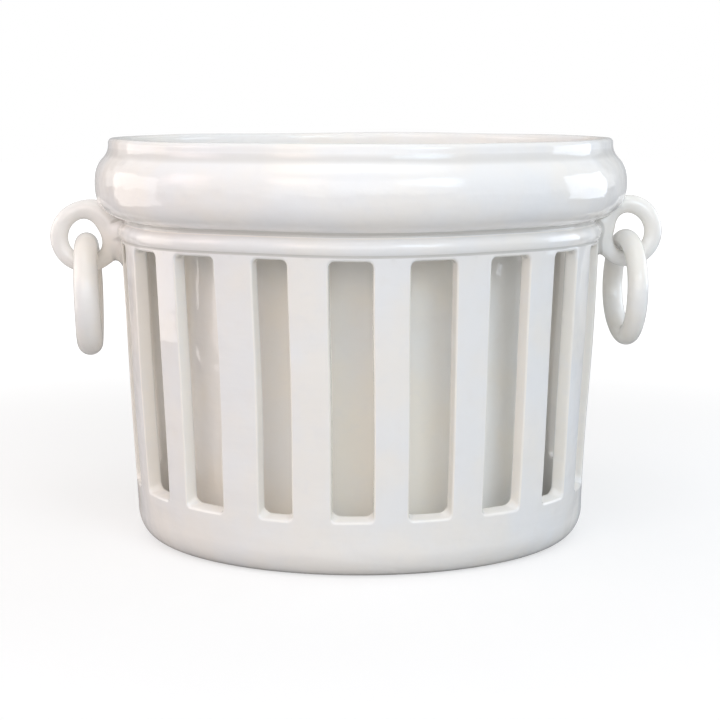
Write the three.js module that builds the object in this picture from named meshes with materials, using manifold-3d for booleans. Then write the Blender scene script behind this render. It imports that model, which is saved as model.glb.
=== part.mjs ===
// Openwork planter in white glazed earthenware: a rolled collar over a bead moulding,
// a tapered wall of upright slats round a smooth inner pot, and two ears with loose rings.
// Millimetres, +Z up. The origin is the centre of the foot, on the surface it stands on.
// -Y is the front, and the ears are at +X and -X.
import * as THREE from 'three';
import { mergeVertices } from 'three/addons/utils/BufferGeometryUtils.js';
import Module from 'manifold-3d';

const wasm = await Module();
wasm.setup();

// Heights, from the foot up
const SILL_HEIGHT = 31;
const SILL_FALL = 2.5; // the sill is this much lower outside than inside
const WINDOW_HEIGHT = 139.5;
const LINTEL_HEIGHT = 2.5;
const BEAD_HEIGHT = 9;
const COLLAR_HEIGHT = 48;

// Pierced wall
const WALL_FOOT_RADIUS = 130.4;
const WALL_LEAN = 2.88; // degrees outward
const WALL_THICKNESS = 8;
const WINDOW_COUNT = 19;
const SLAT_WIDTH = 18.6; // outside, at half the window's height
const FIRST_SLAT_ANGLE = 7.4; // degrees from the front towards +X
const WINDOW_CORNER_RADIUS = 3.5;
const SLAT_EDGE_RADIUS = 2;
const SLAT_BACK_EDGE_RADIUS = 1.4;

// Foot and floor
const FOOT_EDGE_RADIUS = 7;
const FOOT_WIDTH = 14.5; // of the base band's thick foot, from the wall's line inward
const FOOT_RECESS = 4;
const FLOOR_THICKNESS = 7; // under the inner pot's foot
const FLOOR_STEP = 1.5; // rise of the floor's middle, which the inner pot stands round

// Bead moulding
const BEAD_STANDOUT = 1.4; // beyond the wall just below it
const BEAD_RING_WIDTH = 14; // of the flat top that carries the collar, from the bead's centre

// Collar
const GROOVE_RADIUS = 127.8;
const BULGE_RADIUS = 153.6;
const BULGE_RISE = 23; // of the widest line above the collar's flat seat
const COLLAR_THICKNESS = 7.5;
const LIP_RADIUS = 145;
const LIP_THICKNESS = 5.5;
const LIP_STRAIGHT = 1.5; // upright part of the neck under the rounded lip

// How full the collar's sweeps are, as shares of their own width or height
const UNDERSIDE_REACH = 0.5; // how far the underside runs out from the groove before it turns up
const UNDERSIDE_LIFT = 0.08; // its rise over that reach
const BULGE_FULLNESS = 0.55; // how long the side stays near its widest, below and above
const NECK_FULLNESS = 0.3; // how far the neck runs straight down from the lip
const HOLLOW_FULLNESS = 0.6; // of the collar's inside

// Inner pot
const POT_FOOT_RADIUS = 104;
const POT_TOP_RADIUS = 108;
const POT_THICKNESS = 6;

// Ears, pressed on by hand, so that the two sides sit a little differently
const EAR_RADIUS = 16; // of the loop's centre line
const EAR_TUBE_RADIUS = 5;
const EAR_SET_IN = { left: 1.2, right: 5.5 }; // depth of the loop in the bead
const EAR_DROP = { left: 10, right: 6.4 }; // of the loop's centre below the collar's seat
const EAR_ROOT_WIDTH = 19;
const EAR_ROOT_HEIGHT = 31;

// Rings, rolled by hand, the left one the larger
const RING_RADIUS = { left: 28.8, right: 28 }; // of the centre line
const RING_TUBE_RADIUS = { left: 6.7, right: 5.9 };
const RING_TURN = { left: 4, right: 7.5 }; // degrees about +Z, as the rings hang

// Clearances
const SEAT_GAP = 0.3; // where a curved or sloping face lies on its neighbour
const RING_SIDE_GAP = 1.5; // between a ring and the root of its ear

// Fineness of the round forms
const TURNED_SEGMENTS = 4 * WINDOW_COUNT;
const LOOP_SEGMENTS = 32;
const TUBE_SIDES = 12;
const CORNER_STEPS = 3; // from a window's side to its end
const SWEEP_STEPS = 7; // of the collar's outside, under and over its widest line
const HOLLOW_STEPS = 4; // of the collar's inside
const ARC_STEPS = 6; // round the bead
const EDGE_STEPS = 4; // round the foot and the lip
const ROOT_SIDES = 16;
const ROOT_LEVELS = 10;

// Levels and radii that follow
const WINDOW_TOP = SILL_HEIGHT + WINDOW_HEIGHT;
const BEAD_BOTTOM = WINDOW_TOP + LINTEL_HEIGHT;
const COLLAR_SEAT = BEAD_BOTTOM + BEAD_HEIGHT;
const HEIGHT = COLLAR_SEAT + COLLAR_HEIGHT;
const BULGE_LEVEL = COLLAR_SEAT + BULGE_RISE;
const LIP_LEVEL = HEIGHT - LIP_THICKNESS / 2;
const NECK_LEVEL = LIP_LEVEL - LIP_STRAIGHT;
const FLOOR_SEAT = FOOT_RECESS + FLOOR_THICKNESS;
const WINDOW_PITCH = 360 / WINDOW_COUNT;
const SLAT_HALF_ANGLE = Math.asin(SLAT_WIDTH / 2 / wallRadius(SILL_HEIGHT + WINDOW_HEIGHT / 2));
const BEAD_RADIUS = BEAD_HEIGHT / 2;
const BEAD_LEVEL = BEAD_BOTTOM + BEAD_RADIUS;
const BEAD_CREST_RADIUS = wallRadius(BEAD_BOTTOM) + BEAD_STANDOUT;
const BEAD_CENTRE_RADIUS = BEAD_CREST_RADIUS - BEAD_RADIUS;
const POT_MOUTH_RADIUS = POT_TOP_RADIUS - POT_THICKNESS;

function degrees(angle) {
  return THREE.MathUtils.degToRad(angle);
}

// Outside radius of the leaning wall at a height.
function wallRadius(z) {
  return WALL_FOOT_RADIUS + z * Math.tan(degrees(WALL_LEAN));
}

// Profile points are (radius, height).
function at(radius, height) {
  return new THREE.Vector2(radius, height);
}

function arc(centreRadius, centreHeight, radius, from, to, steps) {
  const curve = new THREE.EllipseCurve(centreRadius, centreHeight, radius, radius,
    degrees(from), degrees(to), to < from);
  return curve.getPoints(steps);
}

function sweep(start, startPull, endPull, end, steps) {
  return new THREE.CubicBezierCurve(start, startPull, endPull, end).getPoints(steps);
}

// A body turned about the Z axis from a closed profile.
function turned(profile) {
  const closed = [...profile, profile[0].clone()];
  return new THREE.LatheGeometry(closed, TURNED_SEGMENTS).rotateX(Math.PI / 2);
}

// A turned body with no hollow, from an outline whose ends are carried to the axis.
function turnedSolid(outline) {
  const first = outline[0];
  const last = outline[outline.length - 1];
  const profile = [at(0, first.y), ...outline, at(0, last.y)];
  return new THREE.LatheGeometry(profile, TURNED_SEGMENTS).rotateX(Math.PI / 2);
}

function toSolid(geometry) {
  const bare = geometry.clone();
  bare.deleteAttribute('normal');
  bare.deleteAttribute('uv');
  const merged = mergeVertices(bare, 1e-3);
  return new wasm.Manifold(new wasm.Mesh({
    numProp: 3,
    vertProperties: merged.attributes.position.array,
    triVerts: new Uint32Array(merged.index.array),
  }));
}

function toGeometry(solid) {
  const mesh = solid.getMesh();
  const geometry = new THREE.BufferGeometry();
  geometry.setAttribute('position', new THREE.BufferAttribute(mesh.vertProperties, 3));
  geometry.setIndex(new THREE.BufferAttribute(mesh.triVerts, 1));
  geometry.computeVertexNormals();
  return geometry;
}

// A closed body through rings of points, one above the other, with an end face on each end ring.
function lofted(rings) {
  const count = rings[0].length;
  const top = (rings.length - 1) * count;
  const corners = [];
  for (let level = 0; level < top; level += count) {
    for (let i = 0; i < count; i += 1) {
      const here = level + i;
      const next = level + ((i + 1) % count);
      corners.push(here, next, next + count, here, next + count, here + count);
    }
  }
  for (let i = 1; i < count - 1; i += 1) {
    corners.push(0, i + 1, i, top, top + i, top + i + 1);
  }
  const geometry = new THREE.BufferGeometry().setFromPoints(rings.flat());
  geometry.setIndex(corners);
  geometry.computeVertexNormals();
  return geometry;
}

// Glazes
function wallGlaze() {
  return new THREE.MeshStandardMaterial({ color: 0xe8e5df, roughness: 0.16, metalness: 0 });
}

function potGlaze() {
  return new THREE.MeshStandardMaterial({ color: 0xdcdad2, roughness: 0.2, metalness: 0 });
}

function ringGlaze() {
  return new THREE.MeshStandardMaterial({ color: 0xe9e4d9, roughness: 0.18, metalness: 0 });
}

// The half-round bead, from the wall's line round its crest to its flat top.
function beadOutline() {
  const wallEdge = wallRadius(BEAD_BOTTOM) - BEAD_CENTRE_RADIUS;
  const start = -THREE.MathUtils.radToDeg(Math.acos(wallEdge / BEAD_RADIUS));
  return arc(BEAD_CENTRE_RADIUS, BEAD_LEVEL, BEAD_RADIUS, start, 90, ARC_STEPS);
}

// The collar's outside, from the groove under the bulge round to the straight neck.
function collarOutline() {
  const reach = (BULGE_RADIUS - GROOVE_RADIUS) * UNDERSIDE_REACH;
  const above = NECK_LEVEL - BULGE_LEVEL;
  const underside = sweep(at(GROOVE_RADIUS, COLLAR_SEAT),
    at(GROOVE_RADIUS + reach, COLLAR_SEAT + BULGE_RISE * UNDERSIDE_LIFT),
    at(BULGE_RADIUS, BULGE_LEVEL - BULGE_RISE * BULGE_FULLNESS),
    at(BULGE_RADIUS, BULGE_LEVEL), SWEEP_STEPS);
  const shoulder = sweep(at(BULGE_RADIUS, BULGE_LEVEL),
    at(BULGE_RADIUS, BULGE_LEVEL + above * BULGE_FULLNESS),
    at(LIP_RADIUS, NECK_LEVEL - above * NECK_FULLNESS),
    at(LIP_RADIUS, NECK_LEVEL), SWEEP_STEPS);
  return [...underside, ...shoulder.slice(1)];
}

// The same form inside the clay's thickness, from the neck down to the flat shelf.
function collarInside() {
  const neckRadius = LIP_RADIUS - LIP_THICKNESS;
  const bulgeRadius = BULGE_RADIUS - COLLAR_THICKNESS;
  const shelfLevel = COLLAR_SEAT + COLLAR_THICKNESS;
  const above = (NECK_LEVEL - BULGE_LEVEL) * BULGE_FULLNESS;
  const below = (BULGE_LEVEL - shelfLevel) * HOLLOW_FULLNESS;
  const shoulder = sweep(at(neckRadius, NECK_LEVEL), at(neckRadius, BULGE_LEVEL + above),
    at(bulgeRadius, BULGE_LEVEL + above), at(bulgeRadius, BULGE_LEVEL), HOLLOW_STEPS);
  const hollow = sweep(at(bulgeRadius, BULGE_LEVEL), at(bulgeRadius, BULGE_LEVEL - below),
    at(bulgeRadius - below, shelfLevel), at(GROOVE_RADIUS - COLLAR_THICKNESS, shelfLevel),
    HOLLOW_STEPS);
  return [...shoulder, ...hollow.slice(1)];
}

// Rolled collar: flat seat below, bulging wall, straight neck and rounded lip.
function collarGeometry() {
  const lip = arc(LIP_RADIUS - LIP_THICKNESS / 2, LIP_LEVEL, LIP_THICKNESS / 2, 0, 180, EDGE_STEPS);
  return turned([
    at(POT_MOUTH_RADIUS, COLLAR_SEAT),
    ...collarOutline(),
    ...lip,
    ...collarInside(),
    at(POT_MOUTH_RADIUS, COLLAR_SEAT + COLLAR_THICKNESS),
  ]);
}

// Bead moulding on its lintel, with a flat top for the collar.
function beadGeometry() {
  return turned([
    at(wallRadius(WINDOW_TOP) - WALL_THICKNESS, WINDOW_TOP),
    at(wallRadius(WINDOW_TOP), WINDOW_TOP),
    ...beadOutline(),
    at(BEAD_CENTRE_RADIUS - BEAD_RING_WIDTH, COLLAR_SEAT),
    at(wallRadius(BEAD_BOTTOM) - WALL_THICKNESS, BEAD_BOTTOM),
  ]);
}

// Height of the sloping sill at a radius.
function sillHeight(radius) {
  const inward = (wallRadius(SILL_HEIGHT) - radius) / WALL_THICKNESS;
  return SILL_HEIGHT + SILL_FALL * inward;
}

// Inside radius of the base band at a height: thick at the foot, thinner to the sill.
function bandInside(z) {
  const foot = WALL_FOOT_RADIUS - FOOT_WIDTH;
  const sill = wallRadius(SILL_HEIGHT) - WALL_THICKNESS;
  return foot + (sill - foot) * (z / (SILL_HEIGHT + SILL_FALL));
}

// Base band: rounded foot, sloping sill, and a tapering inside that holds the floor.
function baseGeometry() {
  const foot = arc(wallRadius(FOOT_EDGE_RADIUS) - FOOT_EDGE_RADIUS, FOOT_EDGE_RADIUS,
    FOOT_EDGE_RADIUS, -90, 0, EDGE_STEPS);
  return turned([
    at(bandInside(0), 0),
    ...foot,
    at(wallRadius(SILL_HEIGHT), SILL_HEIGHT),
    at(bandInside(SILL_HEIGHT + SILL_FALL), SILL_HEIGHT + SILL_FALL),
  ]);
}

// Floor disc, wedged in the base band's taper clear of the ground, with a step for the pot.
function floorGeometry() {
  const stepRadius = POT_FOOT_RADIUS - POT_THICKNESS - SEAT_GAP;
  return turnedSolid([
    at(bandInside(FOOT_RECESS) - SEAT_GAP, FOOT_RECESS),
    at(bandInside(FLOOR_SEAT) - SEAT_GAP, FLOOR_SEAT),
    at(stepRadius, FLOOR_SEAT),
    at(stepRadius, FLOOR_SEAT + FLOOR_STEP),
  ]);
}

// Smooth inner pot, open at the top, standing on the floor disc.
function potGeometry() {
  return turned([
    at(POT_FOOT_RADIUS - POT_THICKNESS, FLOOR_SEAT),
    at(POT_FOOT_RADIUS, FLOOR_SEAT),
    at(POT_TOP_RADIUS, COLLAR_SEAT),
    at(POT_MOUTH_RADIUS, COLLAR_SEAT),
  ]);
}

// One slat's outline seen from above, at a height: x is across the slat, y is outward.
function slatSection(z, flare) {
  const outer = wallRadius(z);
  const inner = outer - WALL_THICKNESS;
  const halfOut = outer * Math.sin(SLAT_HALF_ANGLE) + flare;
  const halfIn = inner * Math.sin(SLAT_HALF_ANGLE) + flare;
  const edge = SLAT_EDGE_RADIUS;
  const faceAt = (across) => Math.sqrt(outer ** 2 - across ** 2);
  const side = halfOut - edge;
  const right = new THREE.EllipseCurve(side, faceAt(side) - edge, edge, edge, 0, Math.PI / 2);
  const half = [
    at(halfIn - SLAT_BACK_EDGE_RADIUS, inner),
    at(halfIn, inner + SLAT_BACK_EDGE_RADIUS),
    ...right.getPoints(2),
  ];
  const otherHalf = half.map((p) => at(-p.x, p.y)).reverse();
  return [...half, at(0, faceAt(0)), ...otherHalf];
}

// Slat at the front, with its ends swept out to the rounded corners of the windows.
function slatGeometry() {
  const rings = [];
  const corner = WINDOW_CORNER_RADIUS;
  const steps = CORNER_STEPS;
  const ring = (z, flare, settle) => slatSection(z, flare)
    .map((p) => new THREE.Vector3(p.x, -p.y, settle ? settle(p, z) : z)).reverse();
  const onSill = (p, z) => z + sillHeight(Math.hypot(p.x, p.y)) - SILL_HEIGHT + SEAT_GAP;
  for (let i = 0; i <= steps; i += 1) {
    const turn = (1 - i / steps) * Math.PI / 2;
    const rise = corner * (1 - Math.sin(turn));
    rings.push(ring(SILL_HEIGHT + rise, corner * (1 - Math.cos(turn)), onSill));
  }
  for (let i = 0; i <= steps; i += 1) {
    const turn = (i / steps) * Math.PI / 2;
    const drop = corner * (1 - Math.sin(turn));
    rings.push(ring(WINDOW_TOP - drop, corner * (1 - Math.cos(turn))));
  }
  return lofted(rings);
}

// Everything that an ear is pressed against, with no hollow inside.
function vesselCore() {
  return toSolid(turnedSolid([
    at(wallRadius(SILL_HEIGHT), SILL_HEIGHT),
    ...beadOutline(),
    ...collarOutline(),
    at(LIP_RADIUS, HEIGHT),
  ]));
}

function earLevel(side) {
  return COLLAR_SEAT - EAR_DROP[side];
}

function earCentreRadius(side) {
  return BEAD_CREST_RADIUS + EAR_RADIUS + EAR_TUBE_RADIUS - EAR_SET_IN[side];
}

// Ear, made at +X: a loop standing on edge, on a broad root pressed to the bead and the bulge.
function earGeometry(side) {
  const centre = earCentreRadius(side);
  const level = earLevel(side);
  const loop = new THREE.TorusGeometry(EAR_RADIUS, EAR_TUBE_RADIUS, TUBE_SIDES, LOOP_SEGMENTS);
  loop.rotateX(Math.PI / 2).translate(centre, 0, level);
  const rootFace = centre - RING_TUBE_RADIUS[side] - RING_SIDE_GAP;
  const rootCentre = BEAD_CENTRE_RADIUS;
  const root = new THREE.SphereGeometry(1, ROOT_SIDES, ROOT_LEVELS);
  root.scale(rootFace - rootCentre, EAR_ROOT_WIDTH / 2, EAR_ROOT_HEIGHT / 2);
  root.translate(rootCentre, 0, level);
  const core = vesselCore();
  const ear = toSolid(loop)
    .add(toSolid(root))
    .subtract(core.translate([SEAT_GAP, 0, 0]))
    .subtract(core.translate([0, 0, -SEAT_GAP]));
  return toGeometry(ear);
}

// Ring about its own centre, before its turn about +Z.
function ringGeometry(side) {
  const tube = RING_TUBE_RADIUS[side];
  const ring = new THREE.TorusGeometry(RING_RADIUS[side], tube, TUBE_SIDES, LOOP_SEGMENTS);
  return ring.rotateY(Math.PI / 2);
}

// Level of a ring's centre, as it hangs on the lowest point inside its ear's loop.
function ringLevel(side) {
  const loopBottom = earLevel(side) - EAR_RADIUS + EAR_TUBE_RADIUS;
  return loopBottom + SEAT_GAP + RING_TUBE_RADIUS[side] - RING_RADIUS[side];
}

function named(name, geometry, material) {
  const mesh = new THREE.Mesh(geometry, material);
  mesh.name = name;
  return mesh;
}

const planter = new THREE.Group();
const glaze = wallGlaze();

planter.add(named('rolled_collar', collarGeometry(), glaze));
planter.add(named('bead_moulding', beadGeometry(), glaze));
planter.add(named('base_band', baseGeometry(), glaze));
planter.add(named('floor_disc', floorGeometry(), potGlaze()));
planter.add(named('inner_pot', potGeometry(), potGlaze()));

const slat = slatGeometry();
for (let i = 0; i < WINDOW_COUNT; i += 1) {
  const number = String(i + 1).padStart(2, '0');
  const mesh = named(`slat_${number}`, slat, glaze);
  mesh.rotation.z = degrees(FIRST_SLAT_ANGLE + i * WINDOW_PITCH);
  planter.add(mesh);
}

for (const side of ['left', 'right']) {
  const sign = side === 'left' ? -1 : 1;
  const ear = named(`ear_${side}`, earGeometry(side), glaze);
  ear.rotation.z = sign < 0 ? Math.PI : 0;
  planter.add(ear);
  const ring = named(`ring_${side}`, ringGeometry(side), ringGlaze());
  ring.position.set(sign * earCentreRadius(side), 0, ringLevel(side));
  ring.rotation.z = degrees(RING_TURN[side]);
  planter.add(ring);
}

export default planter;
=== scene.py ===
"""Looks of the openwork planter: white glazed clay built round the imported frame."""
import math

import bmesh
import bpy
import numpy as np
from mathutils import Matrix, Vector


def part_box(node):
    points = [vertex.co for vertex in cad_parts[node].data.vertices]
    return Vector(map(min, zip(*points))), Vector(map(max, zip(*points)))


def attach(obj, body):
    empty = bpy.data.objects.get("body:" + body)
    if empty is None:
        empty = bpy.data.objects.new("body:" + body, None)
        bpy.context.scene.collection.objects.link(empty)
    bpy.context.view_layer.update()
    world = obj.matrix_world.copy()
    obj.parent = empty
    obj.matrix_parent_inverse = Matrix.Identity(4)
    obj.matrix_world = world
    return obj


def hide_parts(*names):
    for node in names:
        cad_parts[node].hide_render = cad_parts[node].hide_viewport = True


bl_info = {
    "name": "Openwork planter",
    "version": (1, 0, 0),
    "blender": (4, 5, 0),
    "location": "3D View > Sidebar > Planter",
    "description": "White glazed cachepot with a pierced wall and two ring handles",
    "category": "Add Mesh",
}

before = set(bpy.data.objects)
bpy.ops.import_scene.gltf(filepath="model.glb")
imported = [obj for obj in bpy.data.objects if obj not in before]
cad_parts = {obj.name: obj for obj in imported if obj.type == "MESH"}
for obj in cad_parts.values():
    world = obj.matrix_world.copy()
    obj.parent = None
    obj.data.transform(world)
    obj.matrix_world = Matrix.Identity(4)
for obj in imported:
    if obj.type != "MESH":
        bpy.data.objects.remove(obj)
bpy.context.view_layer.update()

MM = 0.001
SIDES = {"left": -1, "right": 1}


def span(node, axis):
    """Lowest and highest place of a frame node along an axis, in millimetres."""
    low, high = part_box(node)
    return low[axis] / MM, high[axis] / MM


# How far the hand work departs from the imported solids, in millimetres
LINTEL_DROP = 0.8
BULGE_FULLNESS = 0.4

# Levels and radii that the frame gives, in millimetres
FLOOR_LEVEL = span("floor_disc", 2)[1]
RECESS_LEVEL = span("floor_disc", 2)[0]
POT_FOOT_LEVEL, COLLAR_SEAT = span("inner_pot", 2)
POT_TOP_RADIUS = span("inner_pot", 0)[1]
SILL_INSIDE_LEVEL = span("base_band", 2)[1]
WINDOW_TOP = span("bead_moulding", 2)[0] - LINTEL_DROP
BEAD_CREST_RADIUS = span("bead_moulding", 0)[1]
HEIGHT = span("rolled_collar", 2)[1]
BULGE_RADIUS = span("rolled_collar", 0)[1] + BULGE_FULLNESS

# Sizes of the clay, in millimetres and degrees
SILL_LEVEL = 31.0
WALL_FOOT_RADIUS = 130.4
WALL_LEAN = 2.88
FOOT_EDGE_WIDTH = 11.5
FOOT_EDGE_HEIGHT = 16.0
FOOT_INSIDE_RADIUS = 115.9
BAND_TOP = 24.0
BAND_TOP_THICKNESS = 8.0
LINTEL_HEIGHT = 1.75
BEAD_HEIGHT = 9.0
BEAD_RADIUS = 5.8
BEAD_CENTRE = np.array([BEAD_CREST_RADIUS - BEAD_RADIUS, COLLAR_SEAT - BEAD_RADIUS])
BEAD_RING_WIDTH = 14.0
SEAT_CLEARANCE = 0.1
GROOVE_RADIUS = 124.0
BULGE_RISE = 21.5
LIP_RADIUS = 145.6
COLLAR_SHIFT = {"bulge": 0.8, "lip": 0.5}
LIP_STRAIGHT = 1.5
NECK_FLARE = 0.8
POT_FOOT_RADIUS = 104.0
POT_THICKNESS = 6.0
POT_COVE = 6.0
EAR_RADIUS = 16.0
EAR_TUBE_RADIUS = 5.0
EAR_CENTRE_RADIUS = {"left": 160.3, "right": 156.0}
EAR_LEVEL = {"left": 172.0, "right": 175.6}
EAR_HOLE_DRAW = {"left": 3.2, "right": 4.4}
EAR_HOLE_TURN = {"left": 0.45, "right": 0.17}
EAR_SWELL = {"left": 2.8, "right": 0.8}
EAR_ROOT_REACH = {"left": 12.5, "right": 9.5}
EAR_ROOT_WIDTH = {"left": 21.0, "right": 17.0}
EAR_ROOT_HEIGHT = {"left": 27.0, "right": 29.0}
RING_RADIUS = {"left": 28.8, "right": 28.0}
RING_TUBE_RADIUS = {"left": 6.7, "right": 5.9}
RING_GROWTH = {"left": 0.8, "right": 0.1}
RING_TURN = {"left": 5.4, "right": 7.5}
RING_LEAN = {"left": 1.6, "right": 0.4}

# How the collar's outline bends, as shares of the groove's depth, the rise and the way up
COLLAR_PULL = {"reach": 0.72, "groove": 0.07, "under": 0.66, "over": 0.72, "neck": 0.42}

# How the ears' tube thickens to one side, and how widely it runs into its root
EAR_TUBE_SWAY = 0.35
EAR_TUBE_SWAY_TURN = 0.9
EAR_ROOT_BLEND = 4.0

# Bend of the surface, in 1/mm, at which the glaze starts to thin, is thin, and a crease is fully
# grey (painted shade, partly pooled glaze)
THIN_FROM = 0.2
THIN_FULL = 0.45
POOL_SHADE_FULL = 0.08

# How fine the patterns in the glaze are, as scales of noise over a metre
CLOUD = 22.0
MOTTLE = 130.0
SPECK = 85.0
SPECK_FIELD = 48.0
WAVE = 34.0
TURNING_LINES = 110.0
PEEL = 120.0
FOOT_WIPE = 90.0
CLAY_GRAIN = 900.0

# Segments round the turned pieces
COLLAR_SEGMENTS = 288
POT_SEGMENTS = 192

# Windows: how the slats stand, in degrees from the front towards +X
SLAT_COUNT = 19
FIRST_SLAT = 7.4
SLAT_WIDTH = 7.92
SLAT_PITCH = 360 / SLAT_COUNT

# Steps round the outline of a window, which its cell's border shares
SHORT_STEPS = 10
TALL_STEPS = 34
CORNER_STEPS = 4
ACROSS_POINTS = SHORT_STEPS + 2 * CORNER_STEPS
UPRIGHT_POINTS = TALL_STEPS + 2 * CORNER_STEPS

# Slats that were cut by eye: number, turn from the even place, extra width
HAND_CUT = {
    0: (-0.3, 0.2),
    1: (-0.55, 0.45),
    2: (0.05, 0.6),
    3: (-0.5, 0.7),
    6: (-2.9, 5.7),
    15: (-0.4, -0.4),
    16: (-0.2, -0.4),
    17: (1.7, 2.0),
    18: (0.35, 1.15),
}


class PlanterClay(bpy.types.PropertyGroup):
    """Sizes of the clay that a maker would change."""

    wall_thickness: bpy.props.FloatProperty(
        name="Wall thickness", description="Thickness of the pierced wall",
        default=0.008, min=0.004, max=0.012, unit="LENGTH")
    window_corner: bpy.props.FloatProperty(
        name="Window corner", description="Radius of the windows' upper corners",
        default=0.0032, min=0.001, max=0.010, unit="LENGTH")
    sill_corner: bpy.props.FloatProperty(
        name="Sill corner", description="Radius of the windows' lower corners outside",
        default=0.0026, min=0.001, max=0.010, unit="LENGTH")
    sill_cove: bpy.props.FloatProperty(
        name="Sill cove", description="Radius of the windows' lower corners inside",
        default=0.0050, min=0.001, max=0.010, unit="LENGTH")
    edge_softness: bpy.props.FloatProperty(
        name="Edge softness", description="Radius that the glaze leaves on the outer edges",
        default=0.0011, min=0.0005, max=0.003, unit="LENGTH")
    top_softness: bpy.props.FloatProperty(
        name="Top softness", description="Radius that the glaze leaves over the windows",
        default=0.0016, min=0.0005, max=0.003, unit="LENGTH")
    sill_fall: bpy.props.FloatProperty(
        name="Sill fall", description="How much lower the sills are outside than inside",
        default=0.0025, min=0.0, max=0.006, unit="LENGTH")
    collar_thickness: bpy.props.FloatProperty(
        name="Collar thickness", description="Thickness of the rolled collar",
        default=0.0075, min=0.004, max=0.012, unit="LENGTH")
    lip_thickness: bpy.props.FloatProperty(
        name="Lip thickness", description="Thickness of the collar's rounded lip",
        default=0.0055, min=0.003, max=0.009, unit="LENGTH")
    groove_fillet: bpy.props.FloatProperty(
        name="Groove fillet", description="Radius of the glaze that fills the groove",
        default=0.0016, min=0.0008, max=0.003, unit="LENGTH")
    bead_fillet: bpy.props.FloatProperty(
        name="Bead fillet", description="Radius of the glaze between bead and lintel",
        default=0.0022, min=0.001, max=0.0025, unit="LENGTH")
    left_root_fillet: bpy.props.FloatProperty(
        name="Left root fillet", description="How far the left ear's root is smoothed down",
        default=0.009, min=0.002, max=0.012, unit="LENGTH")
    right_root_fillet: bpy.props.FloatProperty(
        name="Right root fillet", description="How far the right ear's root is smoothed down",
        default=0.0028, min=0.002, max=0.012, unit="LENGTH")
    bulge_seam: bpy.props.FloatProperty(
        name="Bulge seam", description="How far the ears are smoothed onto the bulge",
        default=0.0008, min=0.0005, max=0.006, unit="LENGTH")
    unevenness: bpy.props.FloatProperty(
        name="Unevenness", description="Swell of the hand-built walls",
        default=0.0002, min=0.0, max=0.001, unit="LENGTH")


class PlanterGlaze(bpy.types.PropertyGroup):
    """Colours and gloss of the glaze."""

    body_colour: bpy.props.FloatVectorProperty(
        name="Glaze", description="White glaze on the wall and collar",
        default=(0.925, 0.911, 0.893), size=3, min=0.0, max=1.0, subtype="COLOR")
    # Paler than the wall's glaze: partly a whiter glaze, partly painted light on the collar's top
    collar_colour: bpy.props.FloatVectorProperty(
        name="Collar glaze", description="Thicker, whiter glaze on the collar",
        default=(0.94, 0.928, 0.915), size=3, min=0.0, max=1.0, subtype="COLOR")
    # Cream on edges where the glaze runs thin, and on the windows' cut sides as painted light
    thin_glaze_and_lit_side_colour: bpy.props.FloatVectorProperty(
        name="Thin glaze", description="Cream where the glaze runs thin on an edge",
        default=(0.965, 0.93, 0.865), size=3, min=0.0, max=1.0, subtype="COLOR")
    # Grey laid into creases and corners: painted shade, partly the greyer glaze that pools there
    pooled_glaze_and_shade_colour: bpy.props.FloatVectorProperty(
        name="Pooled glaze", description="Greyer glaze where it gathers in a corner",
        default=(0.66, 0.645, 0.615), size=3, min=0.0, max=1.0, subtype="COLOR")
    # Paler than the wall's glaze: painted light on the inner pot, which stands in the wall's shade
    inner_colour: bpy.props.FloatVectorProperty(
        name="Inner pot", description="Glaze of the inner pot",
        default=(0.975, 0.95, 0.90), size=3, min=0.0, max=1.0, subtype="COLOR")
    ring_colour: bpy.props.FloatVectorProperty(
        name="Ring glaze", description="Cream white glaze of the ears' loose rings",
        default=(0.95, 0.93, 0.90), size=3, min=0.0, max=1.0, subtype="COLOR")
    bare_colour: bpy.props.FloatVectorProperty(
        name="Bare clay", description="Wiped foot that stands on the kiln shelf",
        default=(0.62, 0.50, 0.37), size=3, min=0.0, max=1.0, subtype="COLOR")
    gloss_roughness: bpy.props.FloatProperty(
        name="Gloss roughness", description="Roughness of the fired glaze",
        default=0.055, min=0.02, max=0.6, subtype="FACTOR")
    ripple: bpy.props.FloatProperty(
        name="Ripple", description="Strength of the ripple in the glaze",
        default=0.10, min=0.0, max=1.0, subtype="FACTOR")


class PlanterStudio(bpy.types.PropertyGroup):
    """Camera, lamps and floor."""

    camera_distance: bpy.props.FloatProperty(
        name="Camera distance", description="Camera's distance in front of the foot's centre",
        default=1.1058, min=0.3, max=5.0, unit="LENGTH")
    camera_height: bpy.props.FloatProperty(
        name="Camera height", description="Camera's height above the floor",
        default=0.2549, min=0.0, max=3.0, unit="LENGTH")
    camera_pitch: bpy.props.FloatProperty(
        name="Camera pitch", description="How far the camera looks down",
        default=math.radians(8.01), min=0.0, max=1.5, unit="ROTATION")
    focal_length: bpy.props.FloatProperty(
        name="Focal length", description="Focal length on a 36 mm frame, in millimetres",
        default=94.5, min=20.0, max=300.0)
    floor_colour: bpy.props.FloatVectorProperty(
        name="Floor", description="Pale floor under the planter",
        default=(0.45, 0.45, 0.45), size=3, min=0.0, max=1.0, subtype="COLOR")
    room_light: bpy.props.FloatProperty(
        name="Room light", description="Strength of the even light from all round",
        default=0.45, min=0.0, max=2.0)
    card_tone: bpy.props.FloatProperty(
        name="Grey card", description="Tone of the card that the outer edges mirror",
        default=0.48, min=0.0, max=1.0)
    lamp_power: bpy.props.FloatProperty(
        name="Lamp power", description="Factor on the power of all lamps",
        default=1.0, min=0.0, max=5.0)


def clay(context):
    """Sizes of the clay, as the panel holds them."""
    return context.scene.planter_clay


def glaze(context):
    """Colours and gloss of the glaze, as the panel holds them."""
    return context.scene.planter_glaze


def studio(context):
    """Camera, lamps and floor, as the panel holds them."""
    return context.scene.planter_studio


def wall_radius(z):
    """Outside radius of the leaning wall at a height."""
    return WALL_FOOT_RADIUS + z * math.tan(math.radians(WALL_LEAN))


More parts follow.
